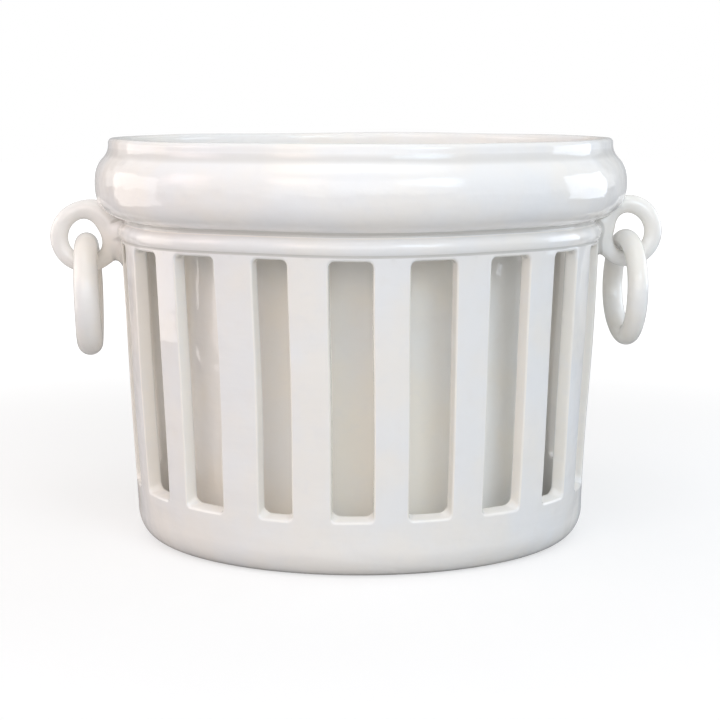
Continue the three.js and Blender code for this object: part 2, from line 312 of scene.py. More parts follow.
def band_inside(z):
    """Inside radius of the base band, thick at the foot and thinner to the sill."""
    at_sill = wall_radius(SILL_LEVEL) - BAND_TOP_THICKNESS
    return FOOT_INSIDE_RADIUS + (at_sill - FOOT_INSIDE_RADIUS) * z / SILL_INSIDE_LEVEL


def arc(radius, height, size, start, end, steps):
    """Points of a round stretch of profile, as (radius, height)."""
    turn = np.radians(np.linspace(start, end, steps + 1))
    return np.column_stack([radius + size * np.cos(turn), height + size * np.sin(turn)])


def sweep(start, start_pull, end_pull, end, steps):
    """Points of a cubic curve between two ends."""
    t = np.linspace(0, 1, steps + 1)[:, None]
    a, b, c, d = (np.array(p, float) for p in (start, start_pull, end_pull, end))
    return (1 - t) ** 3 * a + 3 * (1 - t) ** 2 * t * b + 3 * (1 - t) * t ** 2 * c + t ** 3 * d


def line(start, end, steps):
    """Points of a straight stretch between two ends."""
    t = np.linspace(0, 1, steps + 1)[:, None]
    return (1 - t) * np.array(start, float) + t * np.array(end, float)


def joined(*stretches):
    """One profile from stretches that meet end to end."""
    points = [stretches[0]]
    for stretch in stretches[1:]:
        same = np.linalg.norm(points[-1][-1] - stretch[0]) < 1e-6
        points.append(stretch[1:] if same else stretch)
    return np.vstack(points)


def smooth(value):
    """Eases from 0 to 1 and stays within them."""
    value = np.clip(value, 0, 1)
    return value ** 2 * (3 - 2 * value)


def swells(count, seed):
    """Directions, phases and pushes of slow waves, 70 to 170 mm long."""
    random = np.random.default_rng(seed)
    directions = random.normal(size=(count, 3))
    directions /= np.linalg.norm(directions, axis=1)[:, None]
    lengths = random.uniform(70, 170, size=(count, 1))
    pushes = random.normal(size=(count, 3))
    pushes /= np.linalg.norm(pushes, axis=1)[:, None]
    return directions * 2 * math.pi / lengths, random.uniform(0, 2 * math.pi, count), pushes


SWELLS = swells(7, 11)


def hand_built(points, amount):
    """Moves points by slow swells, and the collar a little towards +X.

    The move depends on place alone, so that neighbours stay together.
    """
    waves, phases, pushes = SWELLS
    push = np.sin(points @ waves.T + phases) @ pushes
    still_foot = 25
    moved = points + push * amount / MM * smooth(points[:, 2:3] / still_foot)
    over_seat = points[:, 2] - COLLAR_SEAT
    to_bulge = smooth(over_seat / BULGE_RISE)
    to_lip = smooth((over_seat - BULGE_RISE) / (HEIGHT - COLLAR_SEAT - BULGE_RISE))
    moved[:, 0] += COLLAR_SHIFT["bulge"] * to_bulge
    moved[:, 0] -= (COLLAR_SHIFT["bulge"] - COLLAR_SHIFT["lip"]) * to_lip
    return moved


def turned_points(profile, angles):
    """Rings of points for a profile turned about the Z axis, as an array [profile, angle, 3]."""
    radius = profile[:, 0][:, None]
    x = radius * np.sin(angles)
    y = -radius * np.cos(angles)
    z = np.repeat(profile[:, 1][:, None], len(angles), axis=1)
    return np.stack([x, y, z], axis=2)


def grid_quads(rows, columns, around, start=0, closed=False):
    """Quads over rows of points; around joins the last column to the first, closed the rows."""
    row = np.arange(rows if closed else rows - 1)
    column = np.arange(columns if around else columns - 1)
    r, c = (a.ravel() for a in np.meshgrid(row, column, indexing="ij"))
    up = (r + 1) % rows
    right = (c + 1) % columns
    corners = [r * columns + c, r * columns + right, up * columns + right, up * columns + c]
    return np.column_stack(corners) + start


def vertex_rows(mesh, name):
    """Places or normals of a mesh's vertices, one row each."""
    values = np.empty(len(mesh.vertices) * 3)
    mesh.vertices.foreach_get(name, values)
    return values.reshape(-1, 3)


def curvature(mesh, rounds):
    """How convex each vertex is, in 1/mm, smoothed over its neighbours."""
    count = len(mesh.vertices)
    place = vertex_rows(mesh, "co") / MM
    normal = vertex_rows(mesh, "normal")
    edge = np.empty(len(mesh.edges) * 2, int)
    mesh.edges.foreach_get("vertices", edge)
    a, b = edge.reshape(-1, 2).T
    gap = place[b] - place[a]
    size = np.maximum((gap ** 2).sum(1), 1e-6)
    bend = ((normal[b] - normal[a]) * gap).sum(1) / size
    share = np.bincount(a, minlength=count) + np.bincount(b, minlength=count)
    share = np.maximum(share, 1)
    for step in range(rounds):
        if step:
            bend = (value[a] + value[b]) / 2
        value = (np.bincount(a, bend, count) + np.bincount(b, bend, count)) / share
    return value


def cut_faces(mesh):
    """1 on the faces that a knife cut, those that look along the wall: the windows' sides, painted
    paler as light.
    """
    place = vertex_rows(mesh, "co") / MM
    normal = vertex_rows(mesh, "normal")
    radius = np.maximum(np.hypot(place[:, 0], place[:, 1]), 1e-6)
    outward = np.abs((place[:, :2] * normal[:, :2]).sum(1) / radius)
    below, above, grazing = 2, 1, 0.75
    at_windows = (place[:, 2] > SILL_LEVEL - below) & (place[:, 2] < WINDOW_TOP + above)
    return (1 - smooth(outward / grazing)) * at_windows


def below_lintel(mesh):
    """1 on the wall and 0 on the lintel and bead: the lintel gets no pale edges, and the painted
    shade under the bead stays full.
    """
    level = vertex_rows(mesh, "co")[:, 2] / MM
    under, fade = 1, 4
    return smooth((WINDOW_TOP - under - level) / fade)


def mark_glaze_light_and_shade(mesh, cut):
    """Stores where the surface is painted paler cream and where it is painted grey.

    Paler cream: thin glaze on edges, and painted light on the windows' cut faces. Grey: painted
    shade in corners and creases, partly pooled glaze, weaker on the wall below the lintel.
    """
    close, wide = 3, 9
    thin = (curvature(mesh, close) - THIN_FROM) / (THIN_FULL - THIN_FROM)
    pool_and_shade = -curvature(mesh, wide) / POOL_SHADE_FULL
    if cut:
        on_wall = below_lintel(mesh)
        # Cut faces get the paler cream as painted light; the painted shade in creases is weaker on
        # the wall
        lit_cut_sides, weaker_wall_shade = 0.8, 0.75
        thin = np.maximum(thin * on_wall, lit_cut_sides * cut_faces(mesh))
        pool_and_shade *= 1 - weaker_wall_shade * on_wall
    for name, strength in (("glaze_thin_and_lit_sides", thin), ("glaze_pool_and_shade", pool_and_shade)):
        layer = mesh.attributes.new(name, "FLOAT", "POINT")
        layer.data.foreach_set("value", np.clip(strength, 0, 1).astype(np.float32))


def linked(context, name, data):
    """A new object in the scene."""
    made = bpy.data.objects.new(name, data)
    context.scene.collection.objects.link(made)
    return made


def piece(name, points, quads, material, body, context, nodes, swell=True, cut=False):
    """A closed clay piece from points in millimetres, that rides on a body and replaces nodes.

    It follows the swells of the hand-built wall; on a cut piece the knife-cut faces are painted
    paler as light and the painted shade is weaker below the lintel.
    """
    if swell:
        points = hand_built(points, clay(context).unevenness)
    mesh = bpy.data.meshes.new(name)
    mesh.from_pydata((points * MM).tolist(), [], quads.tolist())
    work = bmesh.new()
    work.from_mesh(mesh)
    bmesh.ops.remove_doubles(work, verts=work.verts, dist=2e-6)
    bmesh.ops.recalc_face_normals(work, faces=work.faces)
    work.to_mesh(mesh)
    work.free()
    mesh.polygons.foreach_set("use_smooth", [True] * len(mesh.polygons))
    mark_glaze_light_and_shade(mesh, cut)
    mesh.materials.append(material)
    made = linked(context, name, mesh)
    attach(made, body)
    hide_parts(*nodes)
    return made


def turned_piece(name, profile, segments, material, context, nodes):
    """A piece turned from a closed profile that may touch the axis."""
    angles = np.linspace(0, 2 * math.pi, segments, endpoint=False)
    points = turned_points(profile, angles).reshape(-1, 3)
    quads = grid_quads(len(profile), segments, True, closed=True)
    on_axis = np.all(profile[quads // segments, 0] < 1e-6, axis=1)
    return piece(name, points, quads[~on_axis], material, "planter", context, nodes)


class Nodes:
    """Adds and joins the nodes of a material, a lamp or the world."""

    def __init__(self, tree, keep=False):
        self.tree = tree
        if not keep:
            tree.nodes.clear()

    def add(self, kind, inputs=None, **settings):
        """A new node with its settings, and its inputs as values or joined sockets."""
        node = self.tree.nodes.new(kind)
        for name, value in settings.items():
            setattr(node, name, value)
        for name, value in (inputs or {}).items():
            if isinstance(value, bpy.types.NodeSocket):
                self.tree.links.new(value, node.inputs[name])
            else:
                node.inputs[name].default_value = value
        return node

    def place(self):
        """Place on the object, in metres."""
        return self.add("ShaderNodeTexCoord").outputs["Object"]

    def stored(self, name):
        """A value that the mesh stores at its vertices."""
        return self.add("ShaderNodeAttribute", attribute_name=name).outputs["Fac"]

    def maths(self, operation, *values):
        """Result of an operation on numbers or sockets."""
        return self.add("ShaderNodeMath", dict(enumerate(values)), operation=operation).outputs[0]

    def mix(self, factor, first, second):
        """Colour between two colours, each a socket or three numbers."""
        first, second = ((*c, 1.0) if isinstance(c, tuple) else c for c in (first, second))
        node = self.add("ShaderNodeMix", {0: factor, 6: first, 7: second}, data_type="RGBA")
        return node.outputs[2]

    def scaled(self, value, low, high, to_low=0.0, to_high=1.0):
        """A value carried from one range to another, smoothly and within its ends."""
        node = self.add("ShaderNodeMapRange", {"Value": value, "From Min": low, "From Max": high,
                                               "To Min": to_low, "To Max": to_high},
                        interpolation_type="SMOOTHSTEP")
        return node.outputs["Result"]

    def noise(self, place, scale, detail, seed=0.0):
        """Soft clouds, finer with a larger scale."""
        node = self.add("ShaderNodeTexNoise", {"Vector": place, "W": seed, "Scale": scale,
                                               "Detail": detail, "Roughness": 0.5},
                        noise_dimensions="4D")
        return node.outputs["Fac"]


def new_material(name):
    """An empty material and its nodes."""
    material = bpy.data.materials.new(name)
    material.use_nodes = True
    return material, Nodes(material.node_tree)


def tinted(colour, factors):
    """A colour with its red, green and blue changed by factors."""
    return tuple(c * factor for c, factor in zip(colour, factors))


def shade(colour, factor):
    """A colour made darker or lighter."""
    return tinted(colour, (factor,) * 3)


def glaze_material(name, colour, context, seed, warm=0.0):
    """Glossy white glaze: cream where thin, paler cream on cut faces as painted light, grey in
    creases as painted shade and pooled glaze, a faint mottle and ripple.
    """
    look = glaze(context)
    material, made = new_material(name)
    place = made.place()
    thin = made.stored("glaze_thin_and_lit_sides")
    pool_and_shade = made.stored("glaze_pool_and_shade")

    # Slow drift from warm to cool white, with a fine darker mottle
    cloud = made.noise(place, CLOUD, 4.0, seed)
    mottle = made.noise(place, MOTTLE, 3.0, seed + 2.0)
    warm_tone = tinted(colour, (1.015, 0.997, 0.962 - warm))
    cool_tone = tinted(colour, (0.978, 0.995, 1.012))
    base = made.mix(made.scaled(cloud, 0.36, 0.64), warm_tone, cool_tone)
    base = made.mix(made.scaled(mottle, 0.52, 0.74, 0.0, 0.45), base, shade(colour, 0.965))

    # Cream where the glaze is thin and, as painted light, on cut faces, broken by the mottle; grey
    # as painted shade in creases, partly pooled glaze
    edge = made.maths("MULTIPLY", thin, made.scaled(mottle, 0.3, 0.7, 0.55, 1.0))
    base = made.mix(made.scaled(edge, 0.05, 0.75, 0.0, 0.95), base, tuple(look.thin_glaze_and_lit_side_colour))
    base = made.mix(made.scaled(pool_and_shade, 0.08, 1.0, 0.0, 0.9), base, tuple(look.pooled_glaze_and_shade_colour))

    # Rare pinheads of iron
    speck = made.add("ShaderNodeTexVoronoi", {"Vector": place, "Scale": SPECK, "Randomness": 1.0},
                     feature="F1").outputs["Distance"]
    rare = made.scaled(made.noise(place, SPECK_FIELD, 1.0, seed + 5.0), 0.60, 0.64)
    pin = made.maths("MULTIPLY", made.scaled(speck, 0.05, 0.02), rare)
    pin_tone = (0.52, 0.46, 0.36)
    base = made.mix(made.scaled(pin, 0.0, 1.0, 0.0, 0.35), base, pin_tone)

    # Slow waves, turning lines and fine orange peel, each as strength and distance
    wave = made.noise(place, WAVE, 2.0, seed + 7.0)
    flat_place = made.add("ShaderNodeMapping", {"Vector": place, "Scale": (0.2, 0.2, 1.0)})
    turning = made.noise(flat_place.outputs["Vector"], TURNING_LINES, 2.0, seed + 9.0)
    peel = made.noise(place, PEEL, 3.0, seed + 11.0)
    normal = None
    for height, strength, distance in ((wave, 3.4, 0.004), (turning, 4.5, 0.0008),
                                       (peel, 2.0, 0.0008)):
        bump = made.add("ShaderNodeBump", {"Height": height, "Strength": look.ripple * strength,
                                           "Distance": distance})
        if normal:
            made.tree.links.new(normal, bump.inputs["Normal"])
        normal = bump.outputs["Normal"]
    rough = made.scaled(mottle, 0.25, 0.75, look.gloss_roughness * 0.85,
                        look.gloss_roughness * 1.3)
    shader = made.add("ShaderNodeBsdfPrincipled", {"Base Color": base, "Roughness": rough,
                                                   "IOR": 1.52, "Normal": normal})
    made.add("ShaderNodeOutputMaterial", {"Surface": shader.outputs["BSDF"]})
    return material


def bare_foot_glaze(name, context, seed):
    """The wall's glaze, wiped off the flat of the foot down to bare clay."""
    material = glaze_material(name, tuple(glaze(context).body_colour), context, seed)
    tree = material.node_tree
    shader = next(n for n in tree.nodes if n.bl_idname == "ShaderNodeBsdfPrincipled")
    made = Nodes(tree, keep=True)
    place = made.place()
    height = made.add("ShaderNodeSeparateXYZ", {"Vector": place}).outputs["Z"]
    wobble = made.noise(place, FOOT_WIPE, 3.0, seed + 20.0)
    bare = made.scaled(made.maths("MULTIPLY_ADD", wobble, 0.0006, height), 0.0008, 0.0005)
    grain = made.noise(place, CLAY_GRAIN, 4.0, seed + 22.0)
    clay_tone = tuple(glaze(context).bare_colour)
    biscuit = made.mix(grain, clay_tone, shade(clay_tone, 0.82))
    glazed = shader.inputs["Base Color"].links[0].from_socket
    tree.links.new(made.mix(bare, glazed, biscuit), shader.inputs["Base Color"])
    glossy = shader.inputs["Roughness"].links[0].from_socket
    rough = made.add("ShaderNodeMix", {0: bare, 3: 0.8}, data_type="FLOAT")
    tree.links.new(glossy, rough.inputs[2])
    tree.links.new(rough.outputs[0], shader.inputs["Roughness"])
    return material


def glaze_fillet(curve, size, steps):
    """Glaze that fills the corner between the bead and a curve that runs upwards outside it.

    Gives the number of the curve's last point below the fillet's end, and the fillet's points
    from the bead to the curve.
    """
    run = np.gradient(curve, axis=0)
    side = np.column_stack([run[:, 1], -run[:, 0]])
    centres = curve + size * side / np.linalg.norm(side, axis=1)[:, None]
    spare = np.linalg.norm(centres - BEAD_CENTRE, axis=1) - BEAD_RADIUS - size
    last = np.nonzero(np.diff(np.sign(spare)))[0][-1]
    share = spare[last] / (spare[last] - spare[last + 1])
    centre = centres[last] + share * (centres[last + 1] - centres[last])
    foot = curve[last] + share * (curve[last + 1] - curve[last])
    ends = [math.degrees(math.atan2(*(p - centre)[::-1])) % 360 for p in (BEAD_CENTRE, foot)]
    return last, arc(centre[0], centre[1], size, *ends, steps)


def bead_angle(point):
    """Angle of a point seen from the bead's centre, in degrees."""
    away = point - BEAD_CENTRE
    return math.degrees(math.atan2(away[1], away[0]))


def lintel_outline(low, size, steps):
    """The wall's outside up to the fillet under the bead, and the fillet."""
    levels = np.linspace(low, COLLAR_SEAT - BEAD_RADIUS, 400)
    wall = np.column_stack([wall_radius(levels), levels])
    last, fillet = glaze_fillet(wall, size, steps)
    return joined(wall[[0]], fillet[::-1])


def collar_outline(form, steps):
    """The collar's outside, from the groove under the bulge to the straight neck."""
    bulge = COLLAR_SEAT + BULGE_RISE
    neck = HEIGHT - form.lip_thickness / MM / 2 - LIP_STRAIGHT
    pull = COLLAR_PULL
    reach = GROOVE_RADIUS + (BULGE_RADIUS - GROOVE_RADIUS) * pull["reach"]
    above = neck - bulge
    under = sweep((GROOVE_RADIUS, COLLAR_SEAT),
                  (reach, COLLAR_SEAT + BULGE_RISE * pull["groove"]),
                  (BULGE_RADIUS, bulge - BULGE_RISE * pull["under"]),
                  (BULGE_RADIUS, bulge), steps)
    over = sweep((BULGE_RADIUS, bulge),
                 (BULGE_RADIUS, bulge + above * pull["over"]),
                 (LIP_RADIUS + NECK_FLARE, neck - above * pull["neck"]),
                 (LIP_RADIUS, neck), steps)
    return joined(under, over)


class PLANTER_OT_collar(bpy.types.Operator):
    """Rolled collar with its bulge, groove, neck and rounded lip"""

    bl_idname = "planter.collar"
    bl_label = "Rolled collar"

    def execute(self, context):
        form = clay(context)
        thick = form.collar_thickness / MM
        lip = form.lip_thickness / MM
        outside = collar_outline(form, 40)
        last, fillet = glaze_fillet(outside, form.groove_fillet / MM, 10)
        sunk = 0.15
        over_bead = arc(*BEAD_CENTRE, BEAD_RADIUS - sunk, 90, bead_angle(fillet[0]), 4)
        crown = arc(LIP_RADIUS - lip / 2, HEIGHT - lip / 2, lip / 2, 0, 180, 12)
        neck = HEIGHT - lip / 2 - LIP_STRAIGHT
        bulge = COLLAR_SEAT + BULGE_RISE
        shelf = COLLAR_SEAT + thick
        mouth = POT_TOP_RADIUS - POT_THICKNESS
        above = (neck - bulge) * 0.55
        below = (bulge - shelf) * 0.6
        inner = BULGE_RADIUS - thick
        shoulder = sweep((LIP_RADIUS - lip, neck), (LIP_RADIUS - lip, bulge + above),
                         (inner, bulge + above), (inner, bulge), 14)
        hollow = sweep((inner, bulge), (inner, bulge - below), (inner - below, shelf),
                       (GROOVE_RADIUS - thick, shelf), 14)
        round_off = thick * 0.7
        round_over = arc(mouth + round_off, shelf - round_off, round_off, 90, 180, 8)
        profile = joined(line((mouth, COLLAR_SEAT), (BEAD_CENTRE[0], COLLAR_SEAT), 8),
                         over_bead, fillet, outside[last + 1:], crown, shoulder, hollow,
                         line((GROOVE_RADIUS - thick, shelf), round_over[0], 6), round_over)
        colour = tuple(glaze(context).collar_colour)
        material = glaze_material("collar_glaze", colour, context, seed=3.0)
        turned_piece("rolled_collar_skin", profile, COLLAR_SEGMENTS, material, context,
                     ["rolled_collar"])
        return {"FINISHED"}


def slat_edges():
    """Angles of each slat's left and right edge, going round from the front to +X."""
    edges = []
    for number in range(SLAT_COUNT):
        turn, extra = HAND_CUT.get(number, (0.0, 0.0))
        centre = FIRST_SLAT + number * SLAT_PITCH + turn
        half = (SLAT_WIDTH + extra) / 2
        edges.append((centre - half, centre + half))
    return edges


def rounded_side(half, reach, corners, straight_steps):
    """One side of a rounded rectangle, from corner to corner: places along and away from it."""
    turn = np.radians(np.linspace(135, 90, CORNER_STEPS + 1))
    first, last = (np.column_stack([-(half - corner) + corner * np.cos(turn),
                                    reach - corner + corner * np.sin(turn)])
                   for corner in corners)
    last = last[::-1] * [-1, 1]
    middle = line(first[-1], last[0], straight_steps)
    return joined(first, middle, last)[:-1]


def window_ring(half_width, half_height, low_corner, high_corner, grow):
    """Rounded rectangle, anticlockwise from its lower left corner, grown by a distance."""
    w, h = half_width + grow, half_height + grow
    least = 0.3
    low, high = max(low_corner + grow, least), max(high_corner + grow, least)
    lower = rounded_side(w, h, (low, low), SHORT_STEPS) * [1, -1]
    right = rounded_side(h, w, (low, high), TALL_STEPS)[:, ::-1]
    upper = rounded_side(w, h, (high, high), SHORT_STEPS) * [-1, 1]
    left = -rounded_side(h, w, (high, low), TALL_STEPS)[:, ::-1]
    return np.vstack([lower, right, upper, left])


def cell_ring(left, right, low, high):
    """Border of a window's cell, with as many points as a window's ring has."""
    corners = [(left, low), (right, low), (right, high), (left, high), (left, low)]
    counts = (ACROSS_POINTS, UPRIGHT_POINTS) * 2
    return np.vstack([line(start, end, count)[:-1]
                      for start, end, count in zip(corners, corners[1:], counts)])


class PLANTER_OT_wall(bpy.types.Operator):
    """Pierced wall in one piece: foot, band, sills, slats, lintel and bead"""

    bl_idname = "planter.wall"
    bl_label = "Pierced wall"

    def execute(self, context):
        form = clay(context)
        self.thick = form.wall_thickness / MM
        self.corner = form.window_corner / MM
        self.sill_corner = form.sill_corner / MM
        self.sill_cove = form.sill_cove / MM
        self.soft = form.edge_softness / MM
        self.top_soft = form.top_softness / MM
        self.fall = form.sill_fall / MM
        self.bead_fillet = form.bead_fillet / MM
        self.high = WINDOW_TOP + LINTEL_HEIGHT
        edges = slat_edges()
        points, quads, count, columns = [], [], 0, []
        for number in range(SLAT_COUNT):
            here = edges[number]
            there = edges[(number + 1) % SLAT_COUNT]
            turn = 360 if number == SLAT_COUNT - 1 else 0
            rings, sill_angles = self.window(here, (there[0] + turn, there[1] + turn))
            points.append(rings.reshape(-1, 3))
            quads.append(grid_quads(*rings.shape[:2], True, count))
            count += len(points[-1])
            columns.append(sill_angles)
        angles = np.radians(np.concatenate(columns))
        for profile in (self.foot_profile(), self.bead_profile()):
            points.append(turned_points(profile, angles).reshape(-1, 3))
            quads.append(grid_quads(len(profile), len(angles), True, count))
            count += len(points[-1])
        material = bare_foot_glaze("wall_glaze", context, seed=8.0)
        nodes = ["bead_moulding", "base_band"]
        nodes += [f"slat_{i + 1:02d}" for i in range(SLAT_COUNT)]
        piece("pierced_wall", np.vstack(points), np.vstack(quads), material, "planter", context,
              nodes, cut=True)
        return {"FINISHED"}

    def window(self, here, there):
        """Rings of points from a window's cell border outside, through it, to the border inside.

        Gives the angles of the border's lower side too, to which the foot joins.
        """
        left, right = sum(here) / 2, sum(there) / 2
        middle = (here[1] + there[0]) / 2
        scale = math.radians(1) * wall_radius((SILL_LEVEL + WINDOW_TOP) / 2)
        half_width = (there[0] - here[1]) / 2 * scale
        half_height = (WINDOW_TOP - SILL_LEVEL) / 2
        centre_level = (WINDOW_TOP + SILL_LEVEL) / 2
        border = cell_ring((left - middle) * scale, (right - middle) * scale,
                           BAND_TOP - centre_level, self.high - centre_level)
        steps = []
        cove_depth = self.thick * 0.8
        above_corner = 1

        def opening(grow, depth):
            share = smooth(depth / cove_depth)
            low_corner = self.sill_corner + (self.sill_cove - self.sill_corner) * share
            return window_ring(half_width, half_height, low_corner, self.corner, grow)

        def rounded_edge(turn):
            ring = opening(self.soft * (1 - math.sin(turn)), self.soft * (1 - math.cos(turn)))
            top = smooth((ring[:, 1] - half_height + self.corner + above_corner) / self.corner)
            ring[:, 1] += (self.top_soft - self.soft) * (1 - math.sin(turn)) * top
            ring[:, 1] = np.minimum(ring[:, 1], self.high - centre_level - SEAT_CLEARANCE)
            round_off = self.soft + (self.top_soft - self.soft) * top
            return ring, round_off * (1 - math.cos(turn))

        mouth = rounded_edge(0.0)[0]
        for share in (0.0, 0.3, 0.55, 0.78, 0.92):
            steps.append((border + (mouth - border) * share, 0.0))
        for turn in np.radians(np.linspace(0, 90, 7)):
            steps.append(rounded_edge(turn))
        back = 1.6
        for share in (0.33, 0.67):
            depth = self.top_soft + (self.thick - back - self.top_soft) * share
            steps.append((opening(0, depth), depth))
        for turn in np.radians(np.linspace(0, 90, 5)):
            depth = self.thick - back * (1 - math.sin(turn))
            steps.append((opening(back * (1 - math.cos(turn)), depth), depth))
        inside = steps[-1][0]
        for share in (0.7, 0.4, 0.0):
            steps.append((border + (inside - border) * share, self.thick))
        rings = []
        fall_reach = self.sill_cove + 3
        for ring, depth in steps:
            level = ring[:, 1] + centre_level
            near_sill = 1 - smooth((level - SILL_LEVEL) / fall_reach)
            above_band = smooth((level - BAND_TOP) / (SILL_LEVEL - BAND_TOP))
            level = level + self.fall * depth / self.thick * near_sill * above_band
            outer = wall_radius(level)
            inner = np.minimum(outer - self.thick, band_inside(level))
            radius = outer + (inner - outer) * depth / self.thick
            angle = np.radians(middle + ring[:, 0] / scale)
            rings.append(np.column_stack([radius * np.sin(angle), -radius * np.cos(angle), level]))
        return np.array(rings), middle + border[:ACROSS_POINTS, 0] / scale

    def foot_profile(self):
        """From the wall below the windows round the foot to the band's inside."""
        widest = wall_radius(FOOT_EDGE_HEIGHT)
        outer = line((wall_radius(BAND_TOP), BAND_TOP), (widest, FOOT_EDGE_HEIGHT), 5)
        edge = arc(0, 0, 1, 0, -90, 16) * [FOOT_EDGE_WIDTH, FOOT_EDGE_HEIGHT]
        edge += [widest - FOOT_EDGE_WIDTH, FOOT_EDGE_HEIGHT]
        heel_size = 1.2
        heel = arc(FOOT_INSIDE_RADIUS + heel_size, heel_size, heel_size, -90, -180, 4)
        flat = line(edge[-1], heel[0], 3)
        inner = line((band_inside(heel_size), heel_size), (band_inside(BAND_TOP), BAND_TOP), 6)
        inner[-1, 0] = min(band_inside(BAND_TOP), wall_radius(BAND_TOP) - self.thick)
        return joined(outer, edge, flat, heel[:-1], inner)

    def bead_profile(self):
        """From the lintel round the bead to its flat top and down inside."""
        bottom = COLLAR_SEAT - BEAD_HEIGHT
        top = COLLAR_SEAT - SEAT_CLEARANCE
        lintel = lintel_outline(self.high, self.bead_fillet, 8)
        bead = arc(*BEAD_CENTRE, BEAD_RADIUS, bead_angle(lintel[-1]), 90, 20)
        bead[-4:, 1] = np.minimum(bead[-4:, 1], top)
        flat_end = (BEAD_CREST_RADIUS - BEAD_HEIGHT / 2 - BEAD_RING_WIDTH, top)
        flat = line(bead[-1], flat_end, 4)
        inner = line(flat_end, (wall_radius(bottom) - self.thick, bottom), 4)
        return joined(lintel, bead, flat, inner)


class PLANTER_OT_inner_pot(bpy.types.Operator):
    """Smooth inner pot with its floor"""

    bl_idname = "planter.inner_pot"
    bl_label = "Inner pot"

    def execute(self, context):
        floor_radius = span("floor_disc", 0)[1]
        inside_foot = POT_FOOT_RADIUS - POT_THICKNESS
        cove_level = FLOOR_LEVEL + POT_COVE
        foot_round = 2
        round_level = POT_FOOT_LEVEL + foot_round
        foot_start = POT_FOOT_RADIUS + foot_round
        below_tuck, above_inset = 0.6, 1.0
        profile = joined(
            line((0, RECESS_LEVEL), (FOOT_INSIDE_RADIUS + below_tuck, RECESS_LEVEL), 10),
            line((floor_radius - above_inset, POT_FOOT_LEVEL), (foot_start, POT_FOOT_LEVEL), 3),
            arc(foot_start, round_level, foot_round, -90, -180, 5),
            line((POT_FOOT_RADIUS, round_level), (POT_TOP_RADIUS, COLLAR_SEAT), 30),
            line((POT_TOP_RADIUS - POT_THICKNESS, COLLAR_SEAT), (inside_foot, cove_level), 30),
            arc(inside_foot - POT_COVE, cove_level, POT_COVE, 0, -90, 8),
            line((inside_foot - POT_COVE, FLOOR_LEVEL), (0, FLOOR_LEVEL), 10))
        colour = tuple(glaze(context).inner_colour)
        material = glaze_material("inner_glaze", colour, context, seed=14.0, warm=0.01)
        turned_piece("inner_pot_skin", profile, POT_SEGMENTS, material, context,
                     ["inner_pot", "floor_disc"])
        return {"FINISHED"}


def surface_net(field, origin, step):
    """Points and quads on the zero level of a field that is sampled on a grid."""
    inside = field < 0
    size = np.array(field.shape)
    total = np.zeros((*(size - 1), 3))
    hits = np.zeros(size - 1)
    crossings = []
    for axis in range(3):
        low = [slice(None)] * 3
        high = [slice(None)] * 3
        low[axis], high[axis] = slice(None, -1), slice(1, None)
        first, second = field[tuple(low)], field[tuple(high)]
        cross = inside[tuple(low)] != inside[tuple(high)]
        share = np.where(cross, first / np.where(cross, first - second, 1), 0)
        place = np.stack(np.meshgrid(*(np.arange(n, dtype=float) for n in first.shape),
                                     indexing="ij"), axis=3)
        place[..., axis] += share
        others = [a for a in range(3) if a != axis]
        for shift in ((0, 0), (0, 1), (1, 0), (1, 1)):
            part = [slice(None)] * 3
            for other, move in zip(others, shift):
                part[other] = slice(move, size[other] - 1 + move)
            part = tuple(part)
            total += place[part] * cross[part][..., None]
            hits += cross[part]
        crossings.append((axis, others, cross, inside[tuple(low)]))
    used = hits > 0
    number = np.full(hits.shape, -1)
    number[used] = np.arange(used.sum())
    points = origin + total[used] / hits[used][:, None] * step
    quads = []
    for axis, others, cross, below in crossings:
        spot = np.argwhere(cross)
        keep = np.all((spot[:, others] > 0) & (spot[:, others] < size[others] - 1), axis=1)
        spot = spot[keep]
        corners = []
        for shift in ((0, 0), (1, 0), (1, 1), (0, 1)):
            cell = spot.copy()
            for other, move in zip(others, shift):
                cell[:, other] -= move
            corners.append(number[tuple(cell.T)])
        quads.append(np.column_stack(corners))
    return points, np.vstack(quads)


def profile_field(outline, radii, levels):
    """Signed distance to a closed profile on a grid of radii and levels, negative inside."""
    r, z = np.meshgrid(radii, levels, indexing="ij")
    distance = np.full(r.shape, 1e9)
    inside = np.zeros(r.shape, bool)
    for (r0, z0), (r1, z1) in zip(outline, np.roll(outline, -1, axis=0)):
        length = max((r1 - r0) ** 2 + (z1 - z0) ** 2, 1e-12)
        t = np.clip(((r - r0) * (r1 - r0) + (z - z0) * (z1 - z0)) / length, 0, 1)
        gap = np.hypot(r - r0 - t * (r1 - r0), z - z0 - t * (z1 - z0))
        distance = np.minimum(distance, gap)
        if z0 != z1:
            crossing = (z0 > z) != (z1 > z)
            inside ^= crossing & (r < (r1 - r0) * (z - z0) / (z1 - z0) + r0)
    return np.where(inside, -distance, distance)


